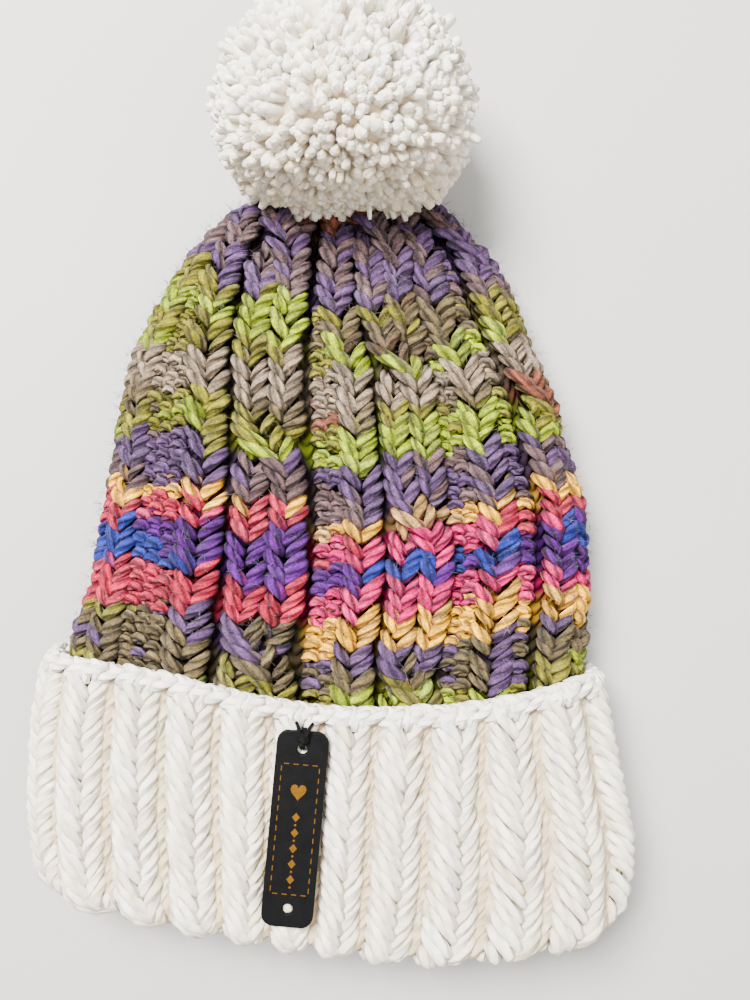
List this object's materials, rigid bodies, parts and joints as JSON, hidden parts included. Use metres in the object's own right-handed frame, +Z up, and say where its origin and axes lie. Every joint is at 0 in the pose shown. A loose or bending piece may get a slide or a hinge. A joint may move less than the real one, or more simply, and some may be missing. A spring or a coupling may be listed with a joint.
{
  "type": "bobble hat",
  "caption": "Knitted bobble hat lying flat: striped cabled body, turned-up white ribbed cuff, white pompom at the gathered top and a black leather label tied to the cuff",
  "frame": {"origin": "on the surface that the hat lies on, under the middle of its outer box", "axes": "+X across the hat to the right as seen from the front, +Y from the cuff to the pompom, +Z up from the surface through the front"},
  "size_m": [0.187, 0.2872, 0.0702],
  "materials": {
    "striped_yarn": "chunky plied acrylic yarn in dyed stripes, matt and slightly fuzzy",
    "white_yarn": "chunky warm white acrylic yarn in single rib, matt",
    "pompom_yarn": "cut ends of white yarn, soft and matt",
    "black_leather": "fine-grained black leather with a gold stitched border",
    "black_thread": "waxed black thread"
  },
  "bodies": {
    "root": {"hat_body": "striped_yarn", "cuff": "white_yarn", "pompom": "pompom_yarn", "leather_label": "black_leather", "label_tie": "black_thread"}
  },
  "joints": []
}
